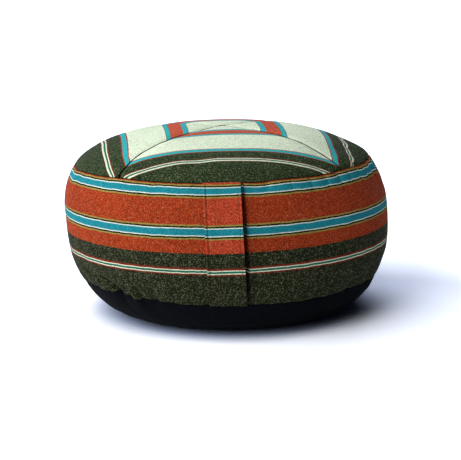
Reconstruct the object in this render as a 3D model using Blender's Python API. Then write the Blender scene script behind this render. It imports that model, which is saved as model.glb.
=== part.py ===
"""Round floor cushion for sitting in meditation (a zafu).

A striped canvas band is drawn round a firm filling. Four mitred quarters of the same canvas close the
top, a plain canvas panel closes the bottom, and a flat strap sewn in at both seams is the handle.

Metres, +Z up. The origin is the centre of the patch on which the cushion rests, the handle faces -Y, and
a turn is counted in degrees from the handle, positive towards +X.
"""

from collections import namedtuple
from math import asin, atan2, cos, degrees, exp, pi, radians, sin

import bmesh
import bpy
from mathutils import Matrix, Vector
from mathutils.geometry import interpolate_bezier

# Outline of the stuffed cushion, as a section from the floor to the middle of the top.
WIDEST_RADIUS = 0.165
WIDEST_HEIGHT = 0.108
CROWN_HEIGHT = 0.187
REST_RADIUS = 0.099
BASE_SEAM_RADIUS = 0.153
BASE_SEAM_HEIGHT = 0.036
TOP_SEAM_RADIUS = 0.1525
TOP_SEAM_HEIGHT = 0.154

# Heading of the section in degrees: 0 runs outwards, 90 straight up, 180 inwards.
BASE_HEADING_AT_SEAM = 58
SIDE_HEADING_AT_BASE_SEAM = 64
SIDE_HEADING_AT_TOP_SEAM = 116
CROWN_HEADING_AT_SEAM = 144.5

# Cloth, seams and the clearance between separate pieces.
CLOTH = 0.002
GAP = 0.0004
TOP_SEAM_DIP = 0.0024
BASE_SEAM_DIP = 0.0010
SEAM_DIP_REACH = 0.0035
MITRE_GROOVE = 0.0009
MITRE_GROOVE_REACH = 0.003
OUTWARD_SPAN = 0.006

# Carrying strap.
STRAP_WIDTH = 0.036
STRAP_THICKNESS = 0.0024
STRAP_END_THICKNESS = 0.0014
STRAP_CLEARANCE = 0.0004
STRAP_BELLY = 0.0012
STRAP_RIGHT_EDGE_LIFT = 0.0016
STRAP_END_INSET = 0.0006
STRAP_OFFSET_AT_BASE = -0.003
STRAP_OFFSET_AT_TOP = -0.001
STRAP_COLUMNS = 5

# Steps round the cushion, and rows of the section counted in metres from a seam.
STEPS = 80
QUARTERS = ("front", "right", "back", "left")
SEAM_ROWS = (GAP / 2, 0.0018, 0.005, 0.011)
ROW_PITCH = 0.0145
CROWN_ROWS = (0.024, 0.042, 0.066, 0.094, 0.124)
MITRE_COLUMN_SHARE = 0.3
TOP_TURN = 4.8

# How the cushion sits: with its height it shifts to the left, and its right side is pushed up by a slope.
Sway = namedtuple("Sway", "height shift slope")
SWAY = (
    Sway(0.000, 0.0000, 0.000),
    Sway(0.012, -0.0007, 0.009),
    Sway(BASE_SEAM_HEIGHT, -0.0022, 0.008),
    Sway(0.072, -0.0044, 0.012),
    Sway(WIDEST_HEIGHT, -0.0067, 0.008),
    Sway(TOP_SEAM_HEIGHT, -0.0095, 0.002),
    Sway(0.170, -0.0115, 0.002),
    Sway(CROWN_HEIGHT, -0.0100, 0.002),
)

# Main folds and drops. A fold is a soft trough (depth over 0) or swelling (depth under 0), as wide and
# long each way as across and along say. It runs up the cloth and slants to the right by slant degrees,
# and lift moves the cloth up at the same place.
Fold = namedtuple("Fold", "turn height across along slant depth lift")
FOLDS = (
    Fold(-88, 0.150, 0.045, 0.020, 0, 0.0000, -0.0035),
    Fold(82, 0.155, 0.035, 0.014, 0, 0.0000, 0.0022),
    Fold(-45, 0.040, 0.011, 0.011, -40, 0.0022, 0.0012),
    Fold(-37, 0.034, 0.012, 0.010, -30, -0.0012, -0.0016),
    Fold(-58, 0.056, 0.011, 0.020, -35, 0.0016, 0.0000),
    Fold(-64, 0.044, 0.012, 0.014, -20, 0.0010, 0.0006),
    Fold(78, 0.040, 0.012, 0.012, 25, 0.0026, 0.0000),
    Fold(62, 0.046, 0.012, 0.014, 20, 0.0012, 0.0000),
    Fold(88, 0.140, 0.010, 0.016, 0, 0.0015, 0.0000),
    Fold(70, 0.143, 0.010, 0.013, 10, 0.0014, 0.0000),
    Fold(58, 0.146, 0.010, 0.010, 5, 0.0010, 0.0000),
    Fold(66, 0.162, 0.011, 0.009, 30, 0.0018, 0.0000),
    Fold(-80, 0.143, 0.011, 0.014, -10, 0.0014, 0.0000),
    Fold(-62, 0.147, 0.011, 0.010, 0, 0.0009, 0.0000),
    Fold(14, 0.152, 0.014, 0.010, 0, 0.0010, -0.0008),
    Fold(118, 0.142, 0.011, 0.014, 8, 0.0014, 0.0000),
    Fold(141, 0.044, 0.012, 0.014, 15, 0.0016, 0.0000),
    Fold(164, 0.146, 0.011, 0.012, -6, 0.0012, 0.0000),
    Fold(-158, 0.045, 0.012, 0.014, -18, 0.0018, 0.0000),
    Fold(-115, 0.144, 0.011, 0.013, 10, 0.0013, 0.0000),
    Fold(-108, 0.048, 0.012, 0.016, -12, 0.0013, 0.0000),
)
FOLD_CORE_HEIGHT = 0.100
FOLD_FREE_HEIGHT = 0.020

# Gathers: the drawn-in cloth rises and falls along both seams.
Gather = namedtuple("Gather", "waves phase depth")
GATHERS = (Gather(9, 0.4, 0.0003), Gather(14, 2.1, 0.0003), Gather(19, 4.0, 0.0002))
GATHER_REACH = 0.012

# Cloth colours, as sRGB.
COLOURS = {
    "side_band": (0.60, 0.24, 0.14),
    "top_quarter": (0.20, 0.24, 0.15),
    "base_panel": (0.05, 0.07, 0.12),
    "handle": (0.70, 0.27, 0.18),
}
CANVAS_ROUGHNESS = 0.9


def bezier_points(start, heading, pull, end, end_heading, end_pull):
    """Points of one curve of the section; the pulls are handle lengths as shares of its chord."""
    chord = (end - start).length
    leave = Vector((cos(radians(heading)), sin(radians(heading)))) * chord * pull
    arrive = Vector((cos(radians(end_heading)), sin(radians(end_heading)))) * chord * end_pull
    return interpolate_bezier(start, start + leave, end - arrive, end, 120)


def section_lengths(points):
    """Distance of each point of the section from its first one."""
    lengths = [0.0]
    for before, after in zip(points, points[1:]):
        lengths.append(lengths[-1] + (after - before).length)
    return lengths


REST_EDGE = Vector((REST_RADIUS, 0.0))
BASE_SEAM = Vector((BASE_SEAM_RADIUS, BASE_SEAM_HEIGHT))
WIDEST = Vector((WIDEST_RADIUS, WIDEST_HEIGHT))
TOP_SEAM = Vector((TOP_SEAM_RADIUS, TOP_SEAM_HEIGHT))
CROWN = Vector((0.0, CROWN_HEIGHT))

BASE_CURVE = bezier_points(REST_EDGE, 0, 0.38, BASE_SEAM, BASE_HEADING_AT_SEAM, 0.38)
LOWER_SIDE = bezier_points(BASE_SEAM, SIDE_HEADING_AT_BASE_SEAM, 0.4, WIDEST, 90, 0.33)
UPPER_SIDE = bezier_points(WIDEST, 90, 0.33, TOP_SEAM, SIDE_HEADING_AT_TOP_SEAM, 0.4)
CROWN_CURVE = bezier_points(TOP_SEAM, CROWN_HEADING_AT_SEAM, 0.38, CROWN, 180, 0.3)

SECTION = BASE_CURVE + LOWER_SIDE[1:] + UPPER_SIDE[1:] + CROWN_CURVE[1:]
LENGTHS = section_lengths(SECTION)
BASE_SEAM_AT = LENGTHS[len(BASE_CURVE) - 1]
TOP_SEAM_AT = LENGTHS[-len(CROWN_CURVE)]
CROWN_AT = LENGTHS[-1]


def sway_at(height):
    """Sideways shift and upward slope at this height, read along straight lines between the rows."""
    for low, high in zip(SWAY, SWAY[1:]):
        if height <= high.height:
            share = (height - low.height) / (high.height - low.height)
            return Vector((low.shift, low.slope)).lerp(Vector((high.shift, high.slope)), share)
    return Vector((SWAY[-1].shift, SWAY[-1].slope))


def section_at(distance):
    """Point of the section at this distance from the rest patch's edge."""
    distance = min(max(distance, 0.0), CROWN_AT)
    index = next(i for i in range(1, len(LENGTHS)) if LENGTHS[i] >= distance)
    share = (distance - LENGTHS[index - 1]) / (LENGTHS[index] - LENGTHS[index - 1])
    return SECTION[index - 1].lerp(SECTION[index], share)


def seam_dip(distance):
    """How far the drawn-in seams pull the cloth inwards here."""
    dip = 0.0
    for seam_at, depth in ((BASE_SEAM_AT, BASE_SEAM_DIP), (TOP_SEAM_AT, TOP_SEAM_DIP)):
        from_seam = max(0.0, abs(distance - seam_at) - GAP / 2)
        dip += depth * exp(-from_seam / SEAM_DIP_REACH)
    return dip


def skin(distance, depth):
    """Section point at this depth under the outer face, with the outward direction smoothed over seams."""
    heading = section_at(distance + OUTWARD_SPAN) - section_at(distance - OUTWARD_SPAN)
    heading.normalize()
    outward = Vector((heading.y, -heading.x))
    return section_at(distance) - outward * (depth + seam_dip(distance))


def fold_offsets(turn, radius, height):
    """Depth and lift of all the folds and gathers at one place."""
    depth = 0.0
    lift = 0.0
    for fold in FOLDS:
        round_turn = (turn - fold.turn + 180) % 360 - 180
        place = Vector((radians(round_turn) * radius, height - fold.height))
        run = Vector((sin(radians(fold.slant)), cos(radians(fold.slant))))
        share = exp(-((place.cross(run) / fold.across) ** 2) - (place.dot(run) / fold.along) ** 2)
        depth += fold.depth * share
        lift += fold.lift * share
    for seam_height in (BASE_SEAM_HEIGHT, TOP_SEAM_HEIGHT):
        share = exp(-(((height - seam_height) / GATHER_REACH) ** 2))
        for gather in GATHERS:
            depth += gather.depth * share * sin(gather.waves * radians(turn) + gather.phase)
    return depth, lift


def settled(point):
    """Where a point of the evenly turned cushion comes to lie on the used, uneven one."""
    turn = degrees(atan2(point.x, -point.y))
    radius = point.xy.length
    free = min(1.0, point.z / FOLD_FREE_HEIGHT)
    free = free * free * (3 - 2 * free)
    depth, lift = fold_offsets(turn, radius, point.z)
    inwards = Vector((point.x, point.y, point.z - FOLD_CORE_HEIGHT)).normalized()
    shift, slope = sway_at(point.z)
    moved = point - inwards * depth * free
    moved.x += shift
    moved.z += lift * free + point.x * slope
    return moved


def on_cushion(turn, radius, height):
    """World point at this turn from the handle, before the cushion has settled."""
    return Vector((radius * sin(radians(turn)), -radius * cos(radians(turn)), height))


def canvas_material(name, colour):
    """Plain matt canvas; the sRGB colour is turned to linear."""
    linear = [part / 12.92 if part <= 0.04045 else ((part + 0.055) / 1.055) ** 2.4 for part in colour]
    material = bpy.data.materials.new(name)
    material.use_nodes = True
    shader = material.node_tree.nodes["Principled BSDF"]
    shader.inputs["Base Color"].default_value = (*linear, 1.0)
    shader.inputs["Roughness"].default_value = CANVAS_ROUGHNESS
    shader.inputs["Metallic"].default_value = 0.0
    return material


def rise(point):
    """How far round the section a point lies, as an angle about the middle of the filling."""
    return atan2(point.z - FOLD_CORE_HEIGHT, point.xy.length)


def split_quads(shape):
    """Cut every quad along the like diagonal, so that layers lying on one another stay parallel."""
    for face in [face for face in shape.faces if len(face.verts) == 4]:
        centre = face.calc_center_median()
        ends = [
            vertex for vertex in face.verts
            if (centre.xy.cross(vertex.co.xy) > 0) == (rise(vertex.co) > rise(centre))
        ]
        if len(ends) == 2:
            bmesh.utils.face_split(face, ends[0], ends[1])


def finished_object(name, shape, colour):
    """Settle a closed bmesh, turn its faces outwards and put it in the scene as one named object."""
    split_quads(shape)
    for vertex in shape.verts:
        vertex.co = settled(vertex.co)
    bmesh.ops.recalc_face_normals(shape, faces=shape.faces)
    mesh = bpy.data.meshes.new(name)
    shape.to_mesh(mesh)
    shape.free()
    mesh.shade_smooth()
    mesh.set_sharp_from_angle(angle=radians(50))
    mesh.materials.append(canvas_material(name + "_canvas", colour))
    bpy.context.collection.objects.link(bpy.data.objects.new(name, mesh))


def turned_solid(name, profile, colour):
    """Spin a section round the upright axis; its columns line up with the mitres of the top."""
    shape = bmesh.new()
    verts = [shape.verts.new((point.x, 0.0, point.y)) for point in profile]
    edges = [shape.edges.new(pair) for pair in zip(verts, verts[1:])]
    bmesh.ops.spin(
        shape, geom=verts + edges, axis=(0, 0, 1), cent=(0, 0, 0),
        angle=2 * pi, steps=STEPS, use_merge=True,
    )
    bmesh.ops.remove_doubles(shape, verts=shape.verts, dist=0.00001)
    bmesh.ops.rotate(shape, verts=shape.verts, cent=(0, 0, 0), matrix=Matrix.Rotation(radians(TOP_TURN), 3, "Z"))
    finished_object(name, shape, colour)


def cloth_shell(name, rows, columns, place, colour):
    """Thin closed solid over a grid of rows and columns; place(row, column, under) gives each point."""
    shape = bmesh.new()
    bmesh.ops.create_grid(shape, x_segments=len(columns) - 1, y_segments=len(rows) - 1, size=1.0)
    under = bmesh.ops.extrude_face_region(shape, geom=shape.faces[:])
    under_verts = [item for item in under["geom"] if isinstance(item, bmesh.types.BMVert)]
    bmesh.ops.translate(shape, verts=under_verts, vec=(0, 0, -1))
    for vertex in shape.verts:
        column = columns[round((vertex.co.x + 1) / 2 * (len(columns) - 1))]
        row = rows[round((vertex.co.y + 1) / 2 * (len(rows) - 1))]
        vertex.co = place(row, column, vertex.co.z < -0.5)
    bmesh.ops.remove_doubles(shape, verts=shape.verts, dist=0.00001)
    finished_object(name, shape, colour)


def rows_between_seams():
    """Distances along the side band, closer together near both seams."""
    low = [BASE_SEAM_AT + row for row in SEAM_ROWS]
    high = [TOP_SEAM_AT - row for row in reversed(SEAM_ROWS)]
    count = round((high[0] - low[-1]) / ROW_PITCH)
    return low[:-1] + [low[-1] + (high[0] - low[-1]) * step / count for step in range(count)] + high


BASE_ROWS = [
    (BASE_SEAM_AT - SEAM_ROWS[-1]) * step / 4 for step in range(5)
] + [BASE_SEAM_AT - row for row in reversed(SEAM_ROWS[:-1])]
SIDE_ROWS = rows_between_seams()
TOP_ROWS = [TOP_SEAM_AT + row for row in SEAM_ROWS + CROWN_ROWS]


def make_side_band():
    """Striped band and what fills it: one solid, stepped in under the edges of the top and the base."""
    under = CLOTH + GAP
    profile = [Vector((0.0, under))]
    profile += [skin(row, under) for row in BASE_ROWS + [SIDE_ROWS[0]]]
    profile += [skin(row, 0.0) for row in SIDE_ROWS]
    profile += [skin(row, under) for row in [SIDE_ROWS[-1]] + TOP_ROWS]
    profile += [Vector((0.0, CROWN_HEIGHT - under))]
    turned_solid("side_band", profile, COLOURS["side_band"])


def make_base_panel():
    """Plain base: flat on the floor in the middle, and rolled up to the base seam all round."""
    profile = [Vector((0.0, 0.0))]
    profile += [skin(row, 0.0) for row in BASE_ROWS]
    profile += [skin(row, CLOTH) for row in reversed(BASE_ROWS)]
    profile += [Vector((0.0, CLOTH))]
    profile[1].y = 0.0
    turned_solid("base_panel", profile, COLOURS["base_panel"])


def quarter_columns():
    """Degrees from a quarter's middle line, with an extra column beside each mitred edge."""
    step = 360 / STEPS
    inner = [step * column - 45 for column in range(1, STEPS // 4)]
    beside_mitre = 45 - step * MITRE_COLUMN_SHARE
    return [-45, -beside_mitre] + inner + [beside_mitre, 45]


def make_top_quarter(name, middle_turn):
    """One quarter of the crowned top, cut to a point at the centre and grooved along both mitres."""
    apex_radius = GAP / 2 ** 0.5
    apex_at = CROWN_AT - apex_radius

    def place(row, column, under):
        radius = apex_radius if row == apex_at else skin(row, 0.0).x
        edge_trim = degrees(asin(GAP / 2 / radius))
        angle = column * (45 - edge_trim) / 45
        from_mitre = radius * sin(radians(45 - abs(angle)))
        groove = MITRE_GROOVE * exp(-from_mitre / MITRE_GROOVE_REACH)
        section_point = skin(row, CLOTH if under else groove)
        radius = apex_radius if row == apex_at else section_point.x
        return on_cushion(middle_turn + angle, radius, section_point.y)

    cloth_shell(name, TOP_ROWS + [apex_at], quarter_columns(), place, COLOURS["top_quarter"])


def make_handle():
    """Flat strap up the front of the band, slack in the middle, its right edge standing off."""
    rows = [BASE_SEAM_AT + STRAP_END_INSET] + SIDE_ROWS[1:-1] + [TOP_SEAM_AT - STRAP_END_INSET]
    columns = [STRAP_WIDTH * (column / STRAP_COLUMNS - 0.5) for column in range(STRAP_COLUMNS + 1)]

    def place(row, column, under):
        share = (row - rows[0]) / (rows[-1] - rows[0])
        slack = sin(pi * share)
        rightness = (column / STRAP_WIDTH + 0.5) ** 2
        clear = STRAP_CLEARANCE + (STRAP_BELLY + STRAP_RIGHT_EDGE_LIFT * rightness) * slack
        fullness = min(1.0, slack / 0.3)
        thickness = STRAP_END_THICKNESS + (STRAP_THICKNESS - STRAP_END_THICKNESS) * fullness
        section_point = skin(row, -clear if under else -clear - thickness)
        offset = STRAP_OFFSET_AT_BASE + (STRAP_OFFSET_AT_TOP - STRAP_OFFSET_AT_BASE) * share
        turn = degrees((offset + column) / section_point.x)
        return on_cushion(turn, section_point.x, section_point.y)

    cloth_shell("handle", rows, columns, place, COLOURS["handle"])


for leftover in list(bpy.data.objects):
    bpy.data.objects.remove(leftover, do_unlink=True)

make_side_band()
make_base_panel()
for number, side in enumerate(QUARTERS):
    make_top_quarter("top_quarter_" + side, TOP_TURN + 90 * number)
make_handle()
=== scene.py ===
"""Round floor cushion for sitting in meditation (a zafu): its cloth, seams, folds and colours.

Metres, +Z up, the carrying strap faces -Y. A turn is counted in degrees from the strap, positive towards +X.
Each piece is laid out on an evenly turned cushion, blown up a little, and then settled into the used shape.
"""

from collections import namedtuple
from functools import lru_cache
from math import asin, atan2, copysign, cos, degrees, exp, pi, radians, sin

import bmesh
import bpy
import numpy as np
from mathutils import Matrix, Vector
from mathutils.geometry import interpolate_bezier
from mathutils.noise import noise_vector


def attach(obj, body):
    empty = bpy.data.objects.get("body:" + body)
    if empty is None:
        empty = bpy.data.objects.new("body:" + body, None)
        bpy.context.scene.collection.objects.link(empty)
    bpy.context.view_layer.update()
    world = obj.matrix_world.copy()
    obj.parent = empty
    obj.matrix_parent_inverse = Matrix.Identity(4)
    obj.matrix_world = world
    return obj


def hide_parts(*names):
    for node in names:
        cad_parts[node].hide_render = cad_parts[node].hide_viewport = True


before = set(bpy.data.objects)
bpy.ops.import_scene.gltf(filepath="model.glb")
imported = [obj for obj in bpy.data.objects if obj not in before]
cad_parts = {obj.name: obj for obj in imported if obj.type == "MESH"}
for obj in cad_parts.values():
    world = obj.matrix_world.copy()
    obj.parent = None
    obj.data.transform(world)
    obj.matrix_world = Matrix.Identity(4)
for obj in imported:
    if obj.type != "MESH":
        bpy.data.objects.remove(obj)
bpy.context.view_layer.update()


# ---- The stuffed band ---------------------------------------------------------------------------------
# One length of striped cotton canvas, joined into a ring and filled tight with hulls. Both its edges are
# drawn in by the seams, so it swells between them and puckers beside them. It stands for all the filling.

# The turned section, in metres.
WIDEST_RADIUS = 0.165
WIDEST_HEIGHT = 0.108
CROWN_HEIGHT = 0.187
REST_RADIUS = 0.099
BASE_SEAM_RADIUS = 0.153
BASE_SEAM_HEIGHT = 0.036
TOP_SEAM_RADIUS = 0.1525
TOP_SEAM_HEIGHT = 0.154

# Headings of the section: 0 runs outwards, 90 straight up, 180 inwards.
BASE_HEADING_AT_SEAM = 58
SIDE_HEADING_AT_BASE_SEAM = 64
SIDE_HEADING_AT_TOP_SEAM = 116
CROWN_HEADING_AT_SEAM = 144.5

# How deep the stitches draw in the cloth, how far from a seam that still shows, and the gap in the seam.
TOP_SEAM_DIP = 0.0024
BASE_SEAM_DIP = 0.0010
SEAM_DIP_REACH = 0.0035
SEAM_GAP = 0.0004

# The laid-out mesh: its columns, the pitch of its rows, and the closer rows beside a seam.
CURVE_POINTS = 120
OUTWARD_SPAN = 0.006
COLUMNS_ROUND = 352
CLOTH_PITCH = 0.0039
SEAM_ROWS = (SEAM_GAP / 2, 0.0014, 0.003, 0.0055, 0.009)
MERGE_DISTANCE = 0.00001


def bezier_points(start, heading, pull, end, end_heading, end_pull):
    """Points of one curve of the section; the pulls are handle lengths as shares of its chord."""
    chord = (end - start).length
    leave = Vector((cos(radians(heading)), sin(radians(heading)))) * chord * pull
    arrive = Vector((cos(radians(end_heading)), sin(radians(end_heading)))) * chord * end_pull
    return interpolate_bezier(start, start + leave, end - arrive, end, CURVE_POINTS)


REST_EDGE = Vector((REST_RADIUS, 0.0))
BASE_SEAM = Vector((BASE_SEAM_RADIUS, BASE_SEAM_HEIGHT))
WIDEST = Vector((WIDEST_RADIUS, WIDEST_HEIGHT))
TOP_SEAM = Vector((TOP_SEAM_RADIUS, TOP_SEAM_HEIGHT))
CROWN = Vector((0.0, CROWN_HEIGHT))

BASE_CURVE = bezier_points(REST_EDGE, 0, 0.38, BASE_SEAM, BASE_HEADING_AT_SEAM, 0.38)
LOWER_SIDE = bezier_points(BASE_SEAM, SIDE_HEADING_AT_BASE_SEAM, 0.4, WIDEST, 90, 0.33)
UPPER_SIDE = bezier_points(WIDEST, 90, 0.33, TOP_SEAM, SIDE_HEADING_AT_TOP_SEAM, 0.4)
CROWN_CURVE = bezier_points(TOP_SEAM, CROWN_HEADING_AT_SEAM, 0.38, CROWN, 180, 0.3)
SECTION = BASE_CURVE + LOWER_SIDE[1:] + UPPER_SIDE[1:] + CROWN_CURVE[1:]

LENGTHS = [0.0]
for before, after in zip(SECTION, SECTION[1:]):
    LENGTHS.append(LENGTHS[-1] + (after - before).length)
BASE_SEAM_AT = LENGTHS[len(BASE_CURVE) - 1]
TOP_SEAM_AT = LENGTHS[-len(CROWN_CURVE)]
CROWN_AT = LENGTHS[-1]


def section_at(distance):
    """Point of the section at this distance along the cloth from the rest patch's edge."""
    distance = min(max(distance, 0.0), CROWN_AT)
    index = next(i for i in range(1, len(LENGTHS)) if LENGTHS[i] >= distance)
    share = (distance - LENGTHS[index - 1]) / (LENGTHS[index] - LENGTHS[index - 1])
    return SECTION[index - 1].lerp(SECTION[index], share)


@lru_cache(maxsize=None)
def outward_at(distance):
    """Outward direction of the section here, smoothed over the seams."""
    heading = (section_at(distance + OUTWARD_SPAN) - section_at(distance - OUTWARD_SPAN)).normalized()
    return Vector((heading.y, -heading.x))


@lru_cache(maxsize=None)
def outer_face(distance):
    """Section point on the outer face, with the drawn-in seams."""
    dip = 0.0
    for seam_at, depth in ((BASE_SEAM_AT, BASE_SEAM_DIP), (TOP_SEAM_AT, TOP_SEAM_DIP)):
        dip += depth * exp(-max(0.0, abs(distance - seam_at) - SEAM_GAP / 2) / SEAM_DIP_REACH)
    return section_at(distance) - outward_at(distance) * dip


def skin(distance, depth):
    """Section point at this depth under the outer face."""
    return outer_face(distance) - outward_at(distance) * depth


def on_cushion(turn, radius, height):
    """Point at this turn from the strap, before the cushion has settled."""
    return Vector((radius * sin(radians(turn)), -radius * cos(radians(turn)), height))


# How the cushion sits: with its height it shifts to the left, and its right side is pushed up by a slope.
Sway = namedtuple("Sway", "height shift slope")
SWAY = (
    Sway(0.000, 0.0000, 0.000),
    Sway(0.012, -0.0007, 0.009),
    Sway(BASE_SEAM_HEIGHT, -0.0022, 0.008),
    Sway(0.072, -0.0044, 0.012),
    Sway(WIDEST_HEIGHT, -0.0067, 0.008),
    Sway(TOP_SEAM_HEIGHT, -0.0095, 0.002),
    Sway(0.170, -0.0115, 0.002),
    Sway(CROWN_HEIGHT, -0.0087, 0.002),
)

# A fold is a soft trough (depth over 0) or swelling (depth under 0) with its width and length in metres.
# It runs up the cloth, slants to the right by slant degrees, and lift moves the cloth up at the same place.
Fold = namedtuple("Fold", "turn height across along slant depth lift")
FOLDS = (
    Fold(-88, 0.150, 0.045, 0.020, 0, 0.0000, -0.0035),
    Fold(82, 0.155, 0.035, 0.014, 0, 0.0000, 0.0022),
    Fold(-45, 0.040, 0.011, 0.011, -40, 0.0022, 0.0012),
    Fold(-37, 0.034, 0.012, 0.010, -30, -0.0012, -0.0016),
    Fold(-58, 0.056, 0.011, 0.020, -35, 0.0016, 0.0000),
    Fold(-64, 0.044, 0.012, 0.014, -20, 0.0010, 0.0006),
    Fold(78, 0.040, 0.012, 0.012, 25, 0.0026, 0.0000),
    Fold(62, 0.046, 0.012, 0.014, 20, 0.0012, 0.0000),
    Fold(88, 0.140, 0.010, 0.016, 0, 0.0015, 0.0000),
    Fold(70, 0.143, 0.010, 0.013, 10, 0.0014, 0.0000),
    Fold(58, 0.146, 0.010, 0.010, 5, 0.0010, 0.0000),
    Fold(66, 0.162, 0.011, 0.009, 30, 0.0008, 0.0000),
    Fold(-80, 0.143, 0.011, 0.014, -10, 0.0014, 0.0000),
    Fold(-62, 0.147, 0.011, 0.010, 0, 0.0009, 0.0000),
    Fold(14, 0.152, 0.014, 0.010, 0, 0.0010, -0.0008),
    Fold(118, 0.142, 0.011, 0.014, 8, 0.0014, 0.0000),
    Fold(141, 0.044, 0.012, 0.014, 15, 0.0016, 0.0000),
    Fold(164, 0.146, 0.011, 0.012, -6, 0.0012, 0.0000),
    Fold(-158, 0.045, 0.012, 0.014, -18, 0.0018, 0.0000),
    Fold(-115, 0.144, 0.011, 0.013, 10, 0.0013, 0.0000),
    Fold(-108, 0.048, 0.012, 0.016, -12, 0.0013, 0.0000),
    Fold(-38, 0.036, 0.026, 0.016, 0, 0.0000, 0.0022),
    Fold(-62, 0.036, 0.022, 0.016, 0, 0.0000, 0.0012),
    Fold(24, 0.036, 0.045, 0.016, 0, 0.0000, -0.0018),
    Fold(55, 0.154, 0.030, 0.012, 0, 0.0000, 0.0020),
    Fold(22, 0.154, 0.026, 0.010, 0, 0.0000, 0.0010),
    Fold(-36, 0.154, 0.026, 0.010, 0, 0.0000, 0.0010),
    Fold(-92, 0.105, 0.055, 0.030, 0, 0.0011, 0.0000),
    Fold(3, 0.181, 0.085, 0.006, 0, 0.0019, 0.0000),
    Fold(0, 0.1885, 0.035, 0.0024, 0, -0.0011, 0.0000),
    Fold(86, 0.036, 0.018, 0.014, 0, 0.0000, 0.0050),
    Fold(-86, 0.036, 0.022, 0.014, 0, 0.0000, -0.0026),
    Fold(-100, 0.075, 0.045, 0.030, 0, 0.0010, 0.0000),
    Fold(-51, 0.048, 0.0060, 0.016, -36, -0.0018, 0.0000),
    Fold(-37, 0.046, 0.0060, 0.014, -26, -0.0012, 0.0000),
    Fold(-9, 0.170, 0.012, 0.005, 0, 0.0007, -0.0010),
)

# Folds press towards this height on the axis, and fade out where the cushion rests on the floor.
FOLD_CORE_HEIGHT = 0.100
FOLD_FREE_HEIGHT = 0.020

# A crease is a sharp valley with soft shoulders, where the cloth is pinched at a seam. It also lifts the
# cloth by a share of its depth.
CREASE_ROUNDING = 0.04
CREASE_LIFT = 0.25
Crease = namedtuple("Crease", "turn height across along slant depth")
CREASES = (
    Crease(-47.5, 0.043, 0.0032, 0.014, -36, 0.0081),
    Crease(-54, 0.047, 0.0030, 0.014, -36, 0.0052),
    Crease(-61, 0.048, 0.0030, 0.013, -34, 0.0044),
    Crease(-40.5, 0.043, 0.0028, 0.012, -30, 0.0046),
    Crease(-34, 0.043, 0.0028, 0.011, -20, 0.0040),
    Crease(-28, 0.041, 0.0026, 0.010, -4, 0.0028),
    Crease(-21, 0.040, 0.0026, 0.009, 6, 0.0022),
    Crease(-70, 0.049, 0.0030, 0.013, -28, 0.0040),
    Crease(20, 0.041, 0.0026, 0.008, 10, 0.0012),
    Crease(33, 0.042, 0.0026, 0.009, 16, 0.0014),
    Crease(49, 0.043, 0.0028, 0.011, 20, 0.0020),
    Crease(61, 0.043, 0.0028, 0.011, 22, 0.0022),
    Crease(81, 0.043, 0.0030, 0.013, 24, 0.0046),
    Crease(72, 0.163, 0.0026, 0.009, 52, 0.0024),
    Crease(84, 0.160, 0.0028, 0.010, 38, 0.0034),
    Crease(16, 0.149, 0.0024, 0.006, 8, 0.0016),
    Crease(25, 0.149, 0.0024, 0.007, -6, 0.0019),
    Crease(33, 0.149, 0.0024, 0.007, 5, 0.0023),
    Crease(40, 0.148, 0.0024, 0.008, -6, 0.0029),
    Crease(47, 0.148, 0.0026, 0.008, 6, 0.0033),
    Crease(53.5, 0.147, 0.0026, 0.009, -5, 0.0038),
    Crease(60, 0.147, 0.0028, 0.010, 6, 0.0045),
    Crease(67, 0.146, 0.0028, 0.011, -5, 0.0049),
    Crease(74.5, 0.145, 0.0030, 0.014, 4, 0.0055),
    Crease(82, 0.143, 0.0030, 0.016, -3, 0.0058),
    Crease(-84, 0.147, 0.0026, 0.010, 0, 0.0024),
    Crease(-76, 0.148, 0.0026, 0.009, 6, 0.0018),
    Crease(-66, 0.149, 0.0024, 0.007, -4, 0.0012),
)

# The drawn-in cloth rises and falls in gathers along both seams: long soft ones and short puckers.
Gather = namedtuple("Gather", "waves phase depth reach")
GATHERS = (
    Gather(9, 0.4, 0.0003, 0.012), Gather(14, 2.1, 0.0003, 0.012), Gather(19, 4.0, 0.0002, 0.012),
    Gather(47, 1.3, 0.00022, 0.007), Gather(71, 0.2, 0.00018, 0.006), Gather(103, 5.1, 0.00012, 0.005),
)


def settle(points):
    """Where points of the evenly turned cushion come to lie on the used, uneven one."""
    turn = np.degrees(np.arctan2(points[:, 0], -points[:, 1]))
    radius = np.hypot(points[:, 0], points[:, 1])
    height = points[:, 2]
    depth = np.zeros(len(points))
    lift = np.zeros(len(points))
    for fold in FOLDS + CREASES:
        round_at = np.radians((turn - fold.turn + 180) % 360 - 180) * radius
        up = height - fold.height
        across = round_at * cos(radians(fold.slant)) - up * sin(radians(fold.slant))
        along = round_at * sin(radians(fold.slant)) + up * cos(radians(fold.slant))
        if isinstance(fold, Fold):
            share = np.exp(-((across / fold.across) ** 2) - (along / fold.along) ** 2)
            lift += fold.lift * share
        else:
            valley = np.sqrt((across / fold.across) ** 2 + CREASE_ROUNDING)
            share = np.exp(-valley - (along / fold.along) ** 2)
            lift += CREASE_LIFT * fold.depth * share
        depth += fold.depth * share
    for seam_height in (BASE_SEAM_HEIGHT, TOP_SEAM_HEIGHT):
        for gather in GATHERS:
            share = np.exp(-(((height - seam_height) / gather.reach) ** 2))
            depth += gather.depth * share * np.sin(gather.waves * np.radians(turn) + gather.phase)
    free = np.clip(height / FOLD_FREE_HEIGHT, 0, 1)
    free = free * free * (3 - 2 * free)
    inwards = points - (0, 0, FOLD_CORE_HEIGHT)
    inwards /= np.linalg.norm(inwards, axis=1)[:, None]
    heights = [row.height for row in SWAY]
    moved = points - inwards * (depth * free)[:, None]
    moved[:, 0] += np.interp(height, heights, [row.shift for row in SWAY])
    moved[:, 2] += lift * free + points[:, 0] * np.interp(height, heights, [row.slope for row in SWAY])
    return moved


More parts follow.
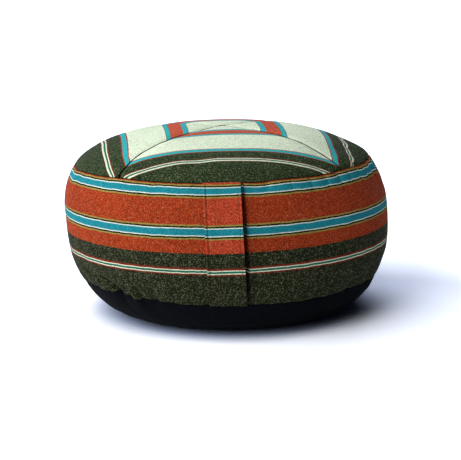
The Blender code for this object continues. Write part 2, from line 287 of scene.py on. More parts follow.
def points_of(mesh):
    """All the vertices of a mesh as rows of x, y, z."""
    flat = np.empty(len(mesh.vertices) * 3)
    mesh.vertices.foreach_get("co", flat)
    return flat.reshape(-1, 3)


def linear(colour):
    """Linear colour of an sRGB hex value such as C8482C."""
    parts = [int(colour[i:i + 2], 16) / 255 for i in (0, 2, 4)]
    return [part / 12.92 if part <= 0.04045 else ((part + 0.055) / 1.055) ** 2.4 for part in parts] + [1.0]


def add_node(tree, kind, settings=None, **links):
    """Add one node. Settings are its properties and socket values, links join its inputs to outputs."""
    node = tree.nodes.new("ShaderNode" + kind)
    for name, value in (settings or {}).items():
        if hasattr(node, name):
            setattr(node, name, value)
        else:
            node.inputs[int(name[1:]) if name[0] == "#" else name].default_value = value
    for name, output in links.items():
        socket = node.inputs[int(name[1:])] if name[0] == "_" else node.inputs[name.replace("_", " ")]
        tree.links.new(output, socket)
    return node


# Sizes of the yarn in metres. The real threads are about 0.5 mm apart, too fine to show at this distance.
# So the weave is drawn at 1.1 mm, the tone of the yarn changes about every 0.6 mm, and it runs in clumps
# of 1.4 mm.
THREAD_PITCH = 0.0011
CROSSING_SIZE = (0.00065, 0.0006, 1)
CLUMP_SIZE = (0.0014, 0.0014, 1)

# Threads end a stripe at heights that differ by up to this much.
FRAY_HEIGHT = 0.0009

# Waves per metre of the fraying and the slubs, along the stripe and across it, and of the fading.
FRAY_WAVES = (900, 250, 0)
SLUB_WAVES = (160, 700, 0)
FADING_WAVES = 22.0

# How much the tone changes with each, and how often a crossing carries a nep or a tuft and how strong it is.
CROSSING_TONES = {"To Min": -1.05, "To Max": 0.75}
CLUMP_TONE = 0.3
SLUB_TONES = {"From Min": 0.25, "From Max": 0.75, "To Min": 0.88, "To Max": 1.12}
FADED_TONES = {"From Min": 0.3, "From Max": 0.7, "To Min": 0.93, "To Max": 1.07}
NEP_CHANCES = {"From Min": 0.87, "From Max": 0.93, "To Max": 0.3}
TUFT_CHANCES = {"From Min": 0.86, "From Max": 0.94, "To Max": 0.25}
MITRE_SHADE = {"From Min": 0.0007, "From Max": 0.0013, "To Min": 0.08}
WEAVE_SHARE = 0.35


def woven_canvas(name, stripes, length, roughness=0.92, sheen=0.03, mitred=False):
    """Matt cotton canvas with stripes across v. Each stripe is (start in mm, sRGB, melange from 0 to 1)."""
    material = bpy.data.materials.new(name)
    material.use_nodes = True
    tree = material.node_tree
    shader = tree.nodes["Principled BSDF"]
    shader.inputs["Roughness"].default_value = roughness
    shader.inputs["Specular IOR Level"].default_value = 0.06
    shader.inputs["Sheen Weight"].default_value = sheen
    shader.inputs["Sheen Roughness"].default_value = 0.35

    cloth = add_node(tree, "UVMap", {"uv_map": "cloth"}).outputs["UV"]
    place = add_node(tree, "SeparateXYZ", _0=cloth)

    # Neighbouring threads end a stripe at slightly different heights.
    fray_at = add_node(tree, "VectorMath", {"operation": "MULTIPLY", "#1": FRAY_WAVES}, _0=cloth)
    fray = add_node(tree, "TexNoise", {"Scale": 1.0, "Detail": 1.0}, Vector=fray_at.outputs[0])
    frayed = add_node(
        tree, "Math", {"operation": "MULTIPLY_ADD", "#1": FRAY_HEIGHT},
        _0=fray.outputs["Fac"], _2=place.outputs["Y"],
    )
    share = add_node(tree, "Math", {"operation": "DIVIDE", "#1": length}, _0=frayed.outputs[0])
    ramp = add_node(tree, "ValToRGB", _0=share.outputs[0])
    ramp.color_ramp.interpolation = "CONSTANT"
    elements = ramp.color_ramp.elements
    while len(elements) > 1:
        elements.remove(elements[-1])
    for start, colour, melange in stripes:
        position = min(max((start / 1000 + FRAY_HEIGHT / 2) / length, 0.0), 1.0)
        element = elements[0] if start <= 0 else elements.new(position)
        element.position = position if start > 0 else 0.0
        element.color = linear(colour)[:3] + [melange]
    melange_here = ramp.outputs["Alpha"]

    # Melange yarn: each thread crossing has its own tone, and a few carry a pale nep or a dark tuft.
    crossing_at = add_node(tree, "VectorMath", {"operation": "SNAP", "#1": CROSSING_SIZE}, _0=cloth)
    crossing = add_node(tree, "TexWhiteNoise", {"noise_dimensions": "2D"}, Vector=crossing_at.outputs[0])
    crossing_tone = add_node(tree, "MapRange", CROSSING_TONES, Value=crossing.outputs["Value"])
    chance = add_node(tree, "SeparateColor", _0=crossing.outputs["Color"])
    clump_at = add_node(tree, "VectorMath", {"operation": "SNAP", "#1": CLUMP_SIZE}, _0=cloth)
    clump = add_node(tree, "TexWhiteNoise", {"noise_dimensions": "2D"}, Vector=clump_at.outputs[0])
    grain = add_node(
        tree, "Math", {"operation": "MULTIPLY_ADD", "#1": CLUMP_TONE},
        _0=clump.outputs["Value"], _2=crossing_tone.outputs["Result"],
    )

    # The yarn is thick and thin along its length, and the cloth has faded here and there.
    slub_at = add_node(tree, "VectorMath", {"operation": "MULTIPLY", "#1": SLUB_WAVES}, _0=cloth)
    slub = add_node(tree, "TexNoise", {"Scale": 1.0, "Detail": 2.0}, Vector=slub_at.outputs[0])
    slub_tone = add_node(tree, "MapRange", SLUB_TONES, Value=slub.outputs["Fac"])
    in_space = add_node(tree, "TexCoord").outputs["Object"]
    faded = add_node(tree, "TexNoise", {"Scale": FADING_WAVES, "Detail": 2.0}, Vector=in_space)
    faded_tone = add_node(tree, "MapRange", FADED_TONES, Value=faded.outputs["Fac"])
    tones = add_node(
        tree, "Math", {"operation": "MULTIPLY"},
        _0=slub_tone.outputs["Result"], _1=faded_tone.outputs["Result"],
    )
    grained = add_node(
        tree, "Math", {"operation": "MULTIPLY_ADD"},
        _0=grain.outputs[0], _1=melange_here, _2=tones.outputs[0],
    )
    toned = add_node(
        tree, "VectorMath", {"operation": "SCALE"}, _0=ramp.outputs["Color"], Scale=grained.outputs[0],
    )
    colour = toned.outputs[0]
    for channel, chances, speck_colour in (("Red", NEP_CHANCES, "AAAA88"), ("Green", TUFT_CHANCES, "1A1C12")):
        speck = add_node(tree, "MapRange", chances, Value=chance.outputs[channel])
        speck_share = add_node(
            tree, "Math", {"operation": "MULTIPLY"}, _0=speck.outputs["Result"], _1=melange_here,
        )
        settings = {"data_type": "RGBA", "#7": linear(speck_colour)}
        colour = add_node(tree, "Mix", settings, _0=speck_share.outputs[0], _6=colour).outputs[2]
    if mitred:
        # The two turned edges of a mitre shade each other. The real line is 0.3 mm wide, too fine to show.
        from_mitre = add_node(tree, "Attribute", {"attribute_name": "from_mitre"})
        shaded = add_node(tree, "MapRange", MITRE_SHADE, Value=from_mitre.outputs["Fac"])
        darkened = add_node(
            tree, "VectorMath", {"operation": "SCALE"}, _0=colour, Scale=shaded.outputs["Result"],
        )
        colour = darkened.outputs[0]
    tree.links.new(colour, shader.inputs["Base Color"])

    # Plain weave: over and under threads as two crossed waves, with the fuzz of the yarn on top.
    wave_at = add_node(tree, "VectorMath", {"operation": "SCALE", "Scale": pi / THREAD_PITCH}, _0=cloth)
    wave = add_node(tree, "SeparateXYZ", _0=wave_at.outputs[0])
    weft = add_node(tree, "Math", {"operation": "SINE"}, _0=wave.outputs["X"])
    warp = add_node(tree, "Math", {"operation": "SINE"}, _0=wave.outputs["Y"])
    weave = add_node(tree, "Math", {"operation": "MULTIPLY"}, _0=weft.outputs[0], _1=warp.outputs[0])
    relief = add_node(
        tree, "Math", {"operation": "MULTIPLY_ADD", "#1": WEAVE_SHARE},
        _0=weave.outputs[0], _2=slub.outputs["Fac"],
    )
    bump = add_node(tree, "Bump", {"Strength": 0.5, "Distance": 0.0004}, Height=relief.outputs[0])
    tree.links.new(bump.outputs["Normal"], shader.inputs["Normal"])
    return material


# The filling presses unevenly: by this much, with this many lumps to the metre.
UNEVEN_FILLING = 0.0006
UNEVEN_LUMPS = 110

# Light canvas that hardly stretches, under even pressure from inside.
SWELLING = {
    "quality": 8, "mass": 0.001, "tension_stiffness": 6, "compression_stiffness": 6, "shear_stiffness": 2,
    "bending_stiffness": 0.004, "air_damping": 1, "use_pressure": True, "uniform_pressure_force": 24,
}
SWELLING_FRAMES = 20


def blow_up(piece, cut_points, held, cap):
    """Let pressure from the filling swell loose cloth that was cut flatter or fuller than it is sewn.

    cut_points are the vertices as cut, held the share by which each is sewn down, and no point moves
    further than about cap metres.
    """
    sewn = points_of(piece.data)
    uneven = np.array([noise_vector(Vector(point) * UNEVEN_LUMPS) for point in sewn]) * UNEVEN_FILLING
    uneven *= 1 - np.array(held)[:, None]
    piece.data.vertices.foreach_set("co", (sewn + uneven).ravel())
    piece.shape_key_add(name="sewn")
    cut = piece.shape_key_add(name="cut")
    cut.data.foreach_set("co", cut_points.ravel())
    group = piece.vertex_groups.new(name="held")
    for index, weight in enumerate(held):
        if weight > 0:
            group.add([index], float(weight), "REPLACE")
    cloth = piece.modifiers.new("Cloth", "CLOTH").settings
    cloth.rest_shape_key = cut
    cloth.vertex_group_mass = group.name
    for setting, value in SWELLING.items():
        setattr(cloth, setting, value)
    cloth.effector_weights.gravity = 0
    scene = bpy.context.scene
    for number in range(1, SWELLING_FRAMES + 1):
        scene.frame_set(number)
    swollen = points_of(piece.evaluated_get(bpy.context.evaluated_depsgraph_get()).to_mesh())
    scene.frame_set(1)
    piece.modifiers.clear()
    piece.shape_key_clear()
    piece.vertex_groups.clear()
    moves = swollen - sewn
    sizes = np.linalg.norm(moves, axis=1)
    moves *= (cap * np.tanh(sizes / cap) / np.maximum(sizes, 1e-9))[:, None]
    piece.data.vertices.foreach_set("co", (sewn + moves).ravel())


def in_scene(name, shape):
    """Turn a bmesh into a named object at the origin."""
    mesh = bpy.data.meshes.new(name)
    shape.to_mesh(mesh)
    shape.free()
    piece = bpy.data.objects.new(name, mesh)
    bpy.context.scene.collection.objects.link(piece)
    return piece


def bake(piece):
    """Keep what a piece's modifiers make of its mesh, and clear them."""
    fine = bpy.data.meshes.new_from_object(piece.evaluated_get(bpy.context.evaluated_depsgraph_get()))
    piece.modifiers.clear()
    fine.name = piece.name
    piece.data = fine


def thicken(piece, thickness):
    """Give a piece the thickness of its cloth, on its inner side."""
    solid = piece.modifiers.new("Thickness", "SOLIDIFY")
    solid.thickness = thickness
    solid.offset = -1


def finish_cloth(piece, material, thickness=0.0, open_middle=False, levels=1):
    """Give a laid-out piece its thickness and its fine smooth mesh, and settle it into the used shape.

    A round piece is laid out with an open middle, which is closed here after the smoothing.
    """
    if thickness and not open_middle:
        thicken(piece, thickness)
    smooth = piece.modifiers.new("Smooth", "SUBSURF")
    smooth.levels = smooth.render_levels = levels
    bake(piece)
    if open_middle:
        shape = bmesh.new()
        shape.from_mesh(piece.data)
        rims = [edge for edge in shape.edges if edge.is_boundary and edge.verts[0].co.xy.length < REST_RADIUS]
        bmesh.ops.holes_fill(shape, edges=rims, sides=0)
        shape.to_mesh(piece.data)
        shape.free()
        if thickness:
            thicken(piece, thickness)
            bake(piece)
    fine = piece.data
    fine.vertices.foreach_set("co", settle(points_of(fine)).ravel())
    fine.shade_smooth()
    fine.materials.clear()
    fine.materials.append(material)
    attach(piece, "root")


def rows_between(low, high):
    """Distances along the cloth from one seam to the other, closer together beside both."""
    near = [low + row for row in SEAM_ROWS]
    far = [high - row for row in reversed(SEAM_ROWS)]
    count = round((far[0] - near[-1]) / CLOTH_PITCH)
    return near[:-1] + [near[-1] + (far[0] - near[-1]) * step / count for step in range(count)] + far


SIDE_ROWS = rows_between(BASE_SEAM_AT, TOP_SEAM_AT)
SIDE_LENGTH = TOP_SEAM_AT - BASE_SEAM_AT
BAND_CUT_RADIUS = 0.1592

# The stripes of the band from the base seam upwards: start in mm, colour, melange.
GREEN, ORANGE, BLUE, WHITE = "212617", "943315", "187C8B", "CDD6CE"
OLIVE, BLACK, TEAL, RED, CREAM = "8C7C3C", "0C0F04", "17604C", "702417", "D3D9C2"
BAND_STRIPES = (
    (0.0, GREEN, 1.0), (34.0, RED, 0.2), (35.6, CREAM, 0.2), (36.6, TEAL, 0.2), (38.4, CREAM, 0.2),
    (39.4, RED, 0.2), (41.0, GREEN, 1.0), (55.1, ORANGE, 0.62), (67.9, OLIVE, 0.4), (69.3, BLACK, 0.1),
    (70.9, WHITE, 0.1), (71.9, BLUE, 0.25), (77.7, WHITE, 0.1), (78.7, BLACK, 0.1), (80.3, OLIVE, 0.4),
    (81.8, ORANGE, 0.62), (106.3, OLIVE, 0.4), (107.7, BLACK, 0.1), (109.3, WHITE, 0.1), (110.4, BLUE, 0.25),
    (116.0, WHITE, 0.1), (117.0, BLACK, 0.1), (118.4, OLIVE, 0.4), (119.8, ORANGE, 0.4),
    # Black from here on, past the top seam and under the quarters. Where its frayed edge reaches below the
    # seam, it also shows as a thin line of painted seam shadow.
    (121.9, BLACK, 0.0),  # past the top seam, under the quarters
)

# Under the base and the top the band stands for the filling, this deep below their cloth.
TUCKED_UNDER = 0.0046


def spun(profile):
    """Spin a profile round the axis. Each of its points comes with its distance along the cloth."""
    shape = bmesh.new()
    cloth_at = shape.verts.layers.float.new("cloth_at")
    verts = []
    for point, distance in profile:
        verts.append(shape.verts.new((0.0, point.x, point.y)))
        verts[-1][cloth_at] = distance
    edges = [shape.edges.new(pair) for pair in zip(verts, verts[1:])]
    bmesh.ops.spin(
        shape, geom=verts + edges, axis=(0, 0, 1), cent=(0, 0, 0),
        angle=2 * pi, steps=COLUMNS_ROUND, use_merge=True,
    )
    bmesh.ops.remove_doubles(shape, verts=shape.verts, dist=MERGE_DISTANCE)
    bmesh.ops.recalc_face_normals(shape, faces=shape.faces)
    return shape, cloth_at


def turn_of(point):
    """Turn of a point from the strap, in radians."""
    return atan2(point.x, -point.y)


profile = [(Vector((REST_RADIUS * 0.6, TUCKED_UNDER)), 0.0)]
profile += [(skin(BASE_SEAM_AT * step / 5, TUCKED_UNDER), 0.0) for step in range(6)]
profile += [(skin(row, 0.0), row - BASE_SEAM_AT) for row in SIDE_ROWS]
for step in range(5):
    row = TOP_SEAM_AT + (CROWN_AT - TOP_SEAM_AT) * step / 6
    profile.append((skin(row, TUCKED_UNDER), SIDE_LENGTH))
shape, cloth_at = spun(profile)

# The strap pulls the band in along its right edge and leaves a narrow furrow there, shallower lower down.
STRAP_WIDTH = 0.0355
STRAP_OFFSET_AT_BASE = -0.0029
STRAP_OFFSET_AT_TOP = 0.0001
FURROW_DEPTH = 0.0150
FURROW_LOW_SHARE = 0.35
FURROW_END_POWER = 0.35
FURROW_REACH = 0.0014
FURROW_OUTSIDE_STRAP = 0.0008


def strap_offset(share):
    """How far to the right the strap's middle line lies, at this share of its way up the band."""
    return STRAP_OFFSET_AT_BASE + (STRAP_OFFSET_AT_TOP - STRAP_OFFSET_AT_BASE) * share


# The columns of the mesh are drawn together round the furrow. Its turn and the reach are in degrees.
DRAWN_TO_TURN = 5.8
DRAWN_REACH = 6
DRAWN_SHARE = 0.78
for vertex in shape.verts:
    from_furrow = degrees(turn_of(vertex.co)) - DRAWN_TO_TURN
    closer = from_furrow * DRAWN_SHARE * exp(-((from_furrow / DRAWN_REACH) ** 2))
    vertex.co.rotate(Matrix.Rotation(radians(-closer), 3, "Z"))

# The UV map is in metres of cloth: round the cushion, and up from the seam. It is cut open at the back.
uv = shape.loops.layers.uv.new("cloth")
for face in shape.faces:
    middle = turn_of(face.calc_center_median())
    for loop in face.loops:
        turn = turn_of(loop.vert.co)
        turn += 2 * pi * round((middle - turn) / (2 * pi))
        loop[uv].uv = (turn * BAND_CUT_RADIUS, loop.vert[cloth_at])

side = [SEAM_GAP < vertex[cloth_at] < SIDE_LENGTH - SEAM_GAP for vertex in shape.verts]
cut_points = np.array([
    on_cushion(degrees(turn_of(vertex.co)), BAND_CUT_RADIUS, BASE_SEAM_HEIGHT + vertex[cloth_at])
    if loose else vertex.co for vertex, loose in zip(shape.verts, side)
])
band = in_scene("striped_band", shape)
blow_up(band, cut_points, [0.0 if loose else 1.0 for loose in side], cap=0.0035)
for vertex, mark in zip(band.data.vertices, band.data.attributes["cloth_at"].data):
    share = mark.value / SIDE_LENGTH
    if 0 < share < 1 and vertex.co.y < 0:
        furrow = strap_offset(share) + STRAP_WIDTH / 2 + FURROW_OUTSIDE_STRAP
        outside = turn_of(vertex.co) * vertex.co.xy.length - furrow
        pressed = sin(pi * share) ** FURROW_END_POWER * (FURROW_LOW_SHARE + (1 - FURROW_LOW_SHARE) * share)
        pressed *= exp(-((outside / FURROW_REACH) ** 4))
        vertex.co -= FURROW_DEPTH * pressed * Vector((vertex.co.x, vertex.co.y, 0)).normalized()
band_canvas = woven_canvas("striped cotton canvas of the band", BAND_STRIPES, SIDE_LENGTH)
finish_cloth(band, band_canvas, open_middle=True)
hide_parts("side_band")


# ---- The mitred top ----------------------------------------------------------------------------------
# Four quarters of the same canvas, each cut so that its stripes run parallel to its outer edge, and sewn
# together along four mitres. Stripes meet at the mitres as square frames. The edges are turned under.

CLOTH_THICKNESS = 0.002
TOP_TURN = 4.8
CROWN_LENGTH = CROWN_AT - TOP_SEAM_AT

# Each mitre is a soft groove with a sharp edge in it, and both fade out near the middle of the top. The
# columns of the mesh lie closer together towards the mitres, by this power.
MITRE_GAP = 0.0008
MITRE_GROOVE = 0.0007
MITRE_GROOVE_REACH = 0.003
MITRE_EDGE_DROP = 0.0010
MITRE_EDGE_REACH = 0.0008
MITRE_FULL_RADIUS = 0.030
MITRE_COLUMNS_POWER = 1.6
SEWN_ROUND_MIDDLE = 0.015

PALE_GREEN = "D6E2C8"
TOP_BLUE = "2AA5AB"
EDGING = "5A5A2C"
TOP_GREEN = "28361F"
FRAME_RED = "BC4E36"

# Where the quarters were pulled unevenly as they were sewn: turn from the strap, and how far the stripes
# lie nearer the middle there. It starts at a distance from the middle and is full further out.
PULLED = (
    (-180, 0.0), (-130, 0.002), (-85, 0.005), (-40, 0.0065),
    (5, -0.002), (50, -0.0015), (95, 0.0), (180, 0.0),
)
PULLED_FROM = 0.045
PULLED_OVER = 0.055

# The stripes from the middle of the top outwards: start in mm, colour, melange.
TOP_STRIPES = (
    (0.0, PALE_GREEN, 0.3), (35.9, EDGING, 1.0), (36.7, TOP_BLUE, 0.25), (41.2, EDGING, 1.0),
    (41.7, FRAME_RED, 0.35), (55.1, EDGING, 1.0), (55.7, TOP_BLUE, 0.25), (60.2, EDGING, 1.0),
    (60.9, PALE_GREEN, 0.3), (101.2, ORANGE, 0.1), (102.3, TOP_BLUE, 0.25), (107.2, ORANGE, 0.1),
    (108.3, TOP_GREEN, 1.0), (121.0, RED, 0.1), (122.1, CREAM, 0.2), (123.5, TEAL, 0.3),
    (125.5, CREAM, 0.2), (126.9, RED, 0.1), (128.0, TOP_GREEN, 1.0),
)
top_canvas = woven_canvas("striped cotton canvas of the top", TOP_STRIPES, CROWN_LENGTH, mitred=True)

# Rows of the mesh from the middle of the top down to the seam.
APEX_RADIUS = MITRE_GAP / 2 ** 0.5
rows = [TOP_SEAM_AT + row for row in SEAM_ROWS]
count = round((CROWN_LENGTH - SEAM_ROWS[-1]) / CLOTH_PITCH)
rows += [rows[-1] + (CROWN_AT - APEX_RADIUS - rows[-1]) * step / count for step in range(1, count + 1)]
TOP_ROWS = rows[::-1]
ROWS_DOWN = len(TOP_ROWS) - 1


def unroll(shape, cloth):
    """UV map in metres of cloth, from where each vertex lies on the flat piece."""
    shape.verts.index_update()
    uv = shape.loops.layers.uv.new("cloth")
    for face in shape.faces:
        for loop in face.loops:
            loop[uv].uv = cloth[loop.vert.index]


for number, side_name in enumerate(("front", "right", "back", "left")):
    middle_turn = TOP_TURN + 90 * number
    shape = bmesh.new()
    bmesh.ops.create_grid(shape, x_segments=ROWS_DOWN, y_segments=ROWS_DOWN, size=1.0)
    mitre_at = shape.verts.layers.float.new("from_mitre")
    cut_points = []
    held = []
    cloth = []
    for vertex in shape.verts:
        # One corner of the grid is the middle of the top, and the two sides away from it are the rim.
        left, right = (round((value + 1) / 2 * ROWS_DOWN) for value in vertex.co.xy)
        down = max(left, right)
        row = TOP_ROWS[down]
        radius = outer_face(row).x if down else APEX_RADIUS
        across = (right - left) / max(down, 1)
        across = copysign(1 - (1 - abs(across)) ** MITRE_COLUMNS_POWER, across)
        angle = across * (45 - degrees(asin(min(1.0, MITRE_GAP / 2 / radius))))
        from_mitre = radius * sin(radians(45 - abs(angle)))
        vertex[mitre_at] = from_mitre
        groove = MITRE_GROOVE * exp(-from_mitre / MITRE_GROOVE_REACH)
        groove += MITRE_EDGE_DROP * exp(-from_mitre / MITRE_EDGE_REACH)
        point = skin(row, groove * min(1.0, radius / MITRE_FULL_RADIUS))
        vertex.co = on_cushion(middle_turn + angle, point.x if down else radius, point.y)
        distance = CROWN_AT - row
        outwards = distance * cos(radians(angle))
        turn = (middle_turn + angle + 180) % 360 - 180
        pulled = float(np.interp(turn, [place[0] for place in PULLED], [place[1] for place in PULLED]))
        pulled *= min(1.0, max(0.0, outwards - PULLED_FROM) / PULLED_OVER)
        cloth.append((distance * sin(radians(angle)), outwards + pulled))
        cut_points.append(on_cushion(middle_turn + angle, distance, CROWN_HEIGHT))
        sewn = down == ROWS_DOWN or abs(across) > 0.999 or distance < SEWN_ROUND_MIDDLE
        held.append(1.0 if sewn else 0.0)
    unroll(shape, cloth)
    bmesh.ops.recalc_face_normals(shape, faces=shape.faces)
    if sum(face.normal.z for face in shape.faces) < 0:
        bmesh.ops.reverse_faces(shape, faces=shape.faces)
    quarter = in_scene("top_canvas_" + side_name, shape)
    blow_up(quarter, np.array(cut_points), held, cap=0.0004)
    finish_cloth(quarter, top_canvas, CLOTH_THICKNESS, levels=2)
    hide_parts("top_quarter_" + side_name)


# ---- The base ----------------------------------------------------------------------------------------
# A round of plain navy canvas, flat where the cushion stands on it and rolled up to the base seam.
# The weight of the filling pulls it smooth in the middle and gathers it a little at the seam.

BASE_FLAT_RADIUS = REST_RADIUS + BASE_SEAM_AT
HELD_ROUND_REST = 0.004
NAVY_STRIPES = ((0.0, "04070F", 0.04),)

rows = [BASE_SEAM_AT - row for row in SEAM_ROWS]
count = round(rows[-1] / CLOTH_PITCH)
rows += [rows[-1] * (1 - step / count) for step in range(1, count + 1)]
profile = []
for row in rows:
    point = skin(row, 0.0)
    profile.append((Vector((point.x, max(point.y, 0.0) if row else 0.0)), REST_RADIUS + row))
profile += [(Vector((REST_RADIUS * share, 0.0)), REST_RADIUS * share) for share in (0.94, 0.8, 0.6, 0.4)]
shape, cloth_at = spun(profile)
if sum(face.normal.z * face.calc_area() for face in shape.faces) > 0:
    bmesh.ops.reverse_faces(shape, faces=shape.faces)
flat_points = [on_cushion(degrees(turn_of(vertex.co)), vertex[cloth_at], 0.0) for vertex in shape.verts]
unroll(shape, [(point.x, -point.y) for point in flat_points])
held = [
    0.0 if REST_RADIUS + HELD_ROUND_REST < vertex[cloth_at] < BASE_FLAT_RADIUS - SEAM_GAP else 1.0
    for vertex in shape.verts
]
base = in_scene("base_round", shape)
blow_up(base, np.array(flat_points), held, cap=0.0030)
base_canvas = woven_canvas("plain navy cotton canvas", NAVY_STRIPES, BASE_FLAT_RADIUS, 0.95, sheen=0.0)
finish_cloth(base, base_canvas, CLOTH_THICKNESS, open_middle=True)
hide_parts("base_panel")


# ---- The carrying strap ------------------------------------------------------------------------------
# A strip of the same canvas folded double to about 36 mm, topstitched 3 mm inside both long edges, and
# caught in both seams at the front. It is a little longer than the band is high, so its right edge
# stands off.

STRAP_THICKNESS = 0.0024
STRAP_END_THICKNESS = 0.0014
STRAP_END_INSET = 0.0004
STRAP_CLEARANCE = 0.0004
STRAP_BELLY = 0.0012
STRAP_RIGHT_EDGE_LIFT = 0.0052
LIFT_LOW_SHARE = 0.45

# The left line of stitches pulls deeper into the cloth than the right one.
TOPSTITCH_INSET = 0.003
TOPSTITCH_REACH = 0.0006
TOPSTITCH_SINK = 0.0011
TOPSTITCH_SINK_ON_RIGHT = 0.2
STITCH_LENGTH = 0.0030
STITCH_SPACE = 0.0006
FIRST_STITCH_INSET = 0.003
LAST_STITCH_INSET = 0.002
THREAD_RADIUS = 0.00030
THREAD_STRIPES = ((0.0, "4A3322", 0.0),)

# Painted light: the strap is the band's canvas, but its orange is painted lighter than the band's, for the
# light that its face, turned a little to the left, catches.
STRAP_ORANGE_PAINTED_LIT = "A63B23"
STRAP_STRIPES = tuple(
    (start, STRAP_ORANGE_PAINTED_LIT if colour == ORANGE else colour, melange)
    for start, colour, melange in BAND_STRIPES[:-1]
)

# The strap was cut a little off the line of the stripes. This is how much lower they lie on it than on the
# band, at its left and its right edge: up to 74 mm above the base seam, and from 112 mm on.
LOW_DROPS = (0.0003, -0.0008)
HIGH_DROPS = (0.0013, 0.0015)
LOW_DROPS_UP_TO = 0.074
HIGH_DROPS_FROM = 0.112

edge_columns = [0.0, 0.0009, 0.0020, 0.0027, TOPSTITCH_INSET, 0.0033, 0.0042]
inner_width = STRAP_WIDTH - 2 * edge_columns[-1]
columns = edge_columns + [edge_columns[-1] + inner_width * step / 9 for step in range(1, 9)]
columns += [STRAP_WIDTH - column for column in reversed(edge_columns)]
rows = [BASE_SEAM_AT + STRAP_END_INSET] + SIDE_ROWS[1:-1] + [TOP_SEAM_AT - STRAP_END_INSET]


def on_strap(row, column, over):
    """Point on the strap; over is 0 on its back and 1 on its face."""
    share = (row - rows[0]) / (rows[-1] - rows[0])
    slack = sin(pi * share)
    freed = slack ** 0.5 * (LIFT_LOW_SHARE + (1 - LIFT_LOW_SHARE) * share)
    clear = STRAP_CLEARANCE + STRAP_BELLY * slack
    clear += STRAP_RIGHT_EDGE_LIFT * (column / STRAP_WIDTH) ** 3 * freed
    fullness = min(1.0, slack / 0.3)
    thickness = STRAP_END_THICKNESS + (STRAP_THICKNESS - STRAP_END_THICKNESS) * fullness
    left_sink = exp(-(((column - TOPSTITCH_INSET) / TOPSTITCH_REACH) ** 2))
    right_sink = exp(-(((STRAP_WIDTH - TOPSTITCH_INSET - column) / TOPSTITCH_REACH) ** 2))
    sink = TOPSTITCH_SINK * fullness * (left_sink + TOPSTITCH_SINK_ON_RIGHT * right_sink)
    point = skin(row, -clear - (thickness - sink) * over)
    to_right = strap_offset(share) + column - STRAP_WIDTH / 2
    return on_cushion(degrees(to_right / point.x), point.x, point.y)


shape = bmesh.new()
bmesh.ops.create_grid(shape, x_segments=len(columns) - 1, y_segments=len(rows) - 1, size=1.0)
back = bmesh.ops.extrude_face_region(shape, geom=shape.faces[:])["geom"]
back_verts = [item for item in back if isinstance(item, bmesh.types.BMVert)]
bmesh.ops.translate(shape, verts=back_verts, vec=(0, 0, -1))
cloth = []
for vertex in shape.verts:
    column = columns[round((vertex.co.x + 1) / 2 * (len(columns) - 1))]
    row = rows[round((vertex.co.y + 1) / 2 * (len(rows) - 1))]
    over = 0.0 if vertex.co.z < -0.5 else 1.0
    up = row - BASE_SEAM_AT
    higher = np.clip((up - LOW_DROPS_UP_TO) / (HIGH_DROPS_FROM - LOW_DROPS_UP_TO), 0, 1)
    left, right = (low + (high - low) * higher for low, high in zip(LOW_DROPS, HIGH_DROPS))
    cloth.append((column, up + left + (right - left) * column / STRAP_WIDTH))
    vertex.co = on_strap(row, column, over)
bmesh.ops.recalc_face_normals(shape, faces=shape.faces)
unroll(shape, cloth)
strap = in_scene("carrying_strap", shape)
strap_canvas = woven_canvas("striped cotton canvas of the strap", STRAP_STRIPES, SIDE_LENGTH)
finish_cloth(strap, strap_canvas)

# The topstitching is single stitches along both edges, of the thread as the second material.
shape = bmesh.new()
shape.from_mesh(strap.data)
for face in shape.faces:
    face.material_index = 0
for column in (TOPSTITCH_INSET, STRAP_WIDTH - TOPSTITCH_INSET):
    at = rows[0] + FIRST_STITCH_INSET
    while at + STITCH_LENGTH < rows[-1] - LAST_STITCH_INSET:
        ends = settle(np.array([on_strap(at, column, 1.0), on_strap(at + STITCH_LENGTH, column, 1.0)]))
        start, end = Vector(ends[0]), Vector(ends[1])
        along = (end - start).normalized()
        outward = Vector((start.x, start.y, 0)).normalized()
        middle = Matrix.Translation((start + end) / 2)
        turned = Matrix((along.cross(outward), outward, along)).transposed().to_4x4()
        size = Matrix.Diagonal((THREAD_RADIUS, THREAD_RADIUS, STITCH_LENGTH / 2, 1))
        stitch = bmesh.ops.create_uvsphere(shape, u_segments=6, v_segments=4, radius=1.0)["verts"]
        bmesh.ops.transform(shape, verts=stitch, matrix=middle @ turned @ size)
        for face in {face for vertex in stitch for face in vertex.link_faces}:
            face.material_index = 1
            face.smooth = True
        at += STITCH_LENGTH + STITCH_SPACE
shape.to_mesh(strap.data)
shape.free()
strap.data.materials.append(woven_canvas("polyester sewing thread", THREAD_STRIPES, SIDE_LENGTH, 0.6))
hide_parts("handle")


# ---- Floor, light and camera -------------------------------------------------------------------------
# A plain pale floor in a white studio, three soft lights from the left and the front, a bluish one
# from behind, and a camera a little above the cushion, as the photograph shows it.

FLOOR_SIZE = 30.0
FLOOR_DROP = 0.0002

# The photograph's background was whitened, so the paper looks brighter than the light it throws back,
# but for the soft shade close round the cushion, which hides the paper from most of the room.
PAPER_IN_LIGHT_GIVEN = (0.92, 0.93, 0.94, 1)
PAPER_SEEN = (1.52, 1.57, 1.75, 1)
PAPER_SEEN_IN_SHADE = (0.38, 0.45, 0.66, 1)
SHADE_REACH = 0.07

# The room is dim but for the lights; only the part behind the cushion was whitened, like the paper.
ROOM_COLOUR = (0.80, 0.90, 1.0, 1.0)
ROOM_STRENGTH = 0.02
ROOM_STRENGTH_SEEN = 1.55

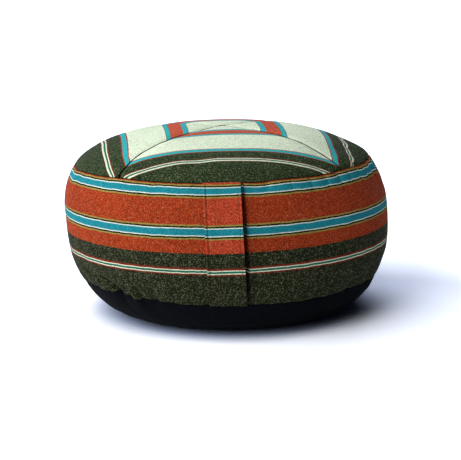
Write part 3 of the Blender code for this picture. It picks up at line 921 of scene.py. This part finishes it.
shape = bmesh.new()
bmesh.ops.create_grid(shape, x_segments=1, y_segments=1, size=FLOOR_SIZE)
bmesh.ops.translate(shape, verts=shape.verts, vec=(0, 0, -FLOOR_DROP))
studio_floor = in_scene("studio_floor", shape)
paper = bpy.data.materials.new("pale studio paper")
paper.use_nodes = True
tree = paper.node_tree
seen = add_node(tree, "LightPath").outputs["Is Camera Ray"]
overhung = add_node(tree, "AmbientOcclusion", {"samples": 16, "Distance": SHADE_REACH})
open_share = add_node(
    tree, "MapRange", {"From Min": 0.2, "From Max": 0.54}, Value=overhung.outputs["AO"],
)
shaded = add_node(
    tree, "Mix", {"data_type": "RGBA", "#6": PAPER_SEEN_IN_SHADE, "#7": PAPER_SEEN},
    _0=open_share.outputs["Result"],
)
whitened = add_node(
    tree, "Mix", {"data_type": "RGBA", "#6": PAPER_IN_LIGHT_GIVEN}, _0=seen, _7=shaded.outputs[2],
)
matt = add_node(tree, "BsdfDiffuse", Color=whitened.outputs[2])
tree.links.new(matt.outputs["BSDF"], tree.nodes["Material Output"].inputs["Surface"])
studio_floor.data.materials.append(paper)

world = bpy.data.worlds.new("studio")
world.use_nodes = True
tree = world.node_tree
room = tree.nodes["Background"]
room.inputs["Color"].default_value = ROOM_COLOUR
seen = add_node(tree, "LightPath").outputs["Is Camera Ray"]
strengths = {"To Min": ROOM_STRENGTH, "To Max": ROOM_STRENGTH_SEEN}
whitened = add_node(tree, "MapRange", strengths, Value=seen)
tree.links.new(whitened.outputs["Result"], room.inputs["Strength"])
bpy.context.scene.world = world

# Each light: strength, spread in degrees, colour, the turn that it comes from, and its height in degrees.
for light_name, energy, spread, colour, turn, above in (
    ("left light", 1.9, 45, (1.0, 1.0, 0.97), -90, 28),
    ("front left light", 1.7, 45, (1.0, 1.0, 0.97), -45, 28),
    ("high front light", 0.75, 45, (1.0, 1.0, 0.97), -40, 55),
    ("back light", 1.35, 60, (0.86, 0.94, 1.12), -170, 45),
):
    light = bpy.data.lights.new(light_name, "SUN")
    light.energy = energy
    light.angle = radians(spread)
    light.color = colour
    lamp = bpy.data.objects.new(light_name, light)
    from_lamp = on_cushion(turn, cos(radians(above)), sin(radians(above)))
    lamp.rotation_euler = from_lamp.to_track_quat("Z", "Y").to_euler()
    bpy.context.scene.collection.objects.link(lamp)

# The camera's turns in degrees: to the left, down from level, and round its own line of sight.
CAMERA_AT = (-0.00218, -1.4170, 0.36507)
CAMERA_TO_LEFT = -0.01
CAMERA_DOWN = 11.47
CAMERA_ROLL = -0.95

camera = bpy.data.cameras.new("camera")
camera.sensor_width = 36.0
camera.lens = 109.05
camera_object = bpy.data.objects.new("camera", camera)
camera_object.matrix_world = (
    Matrix.Translation(CAMERA_AT) @ Matrix.Rotation(radians(CAMERA_TO_LEFT), 4, "Z")
    @ Matrix.Rotation(radians(90 - CAMERA_DOWN), 4, "X") @ Matrix.Rotation(radians(CAMERA_ROLL), 4, "Z")
)
bpy.context.scene.collection.objects.link(camera_object)
bpy.context.scene.camera = camera_object
bpy.context.scene.view_settings.view_transform = "Standard"
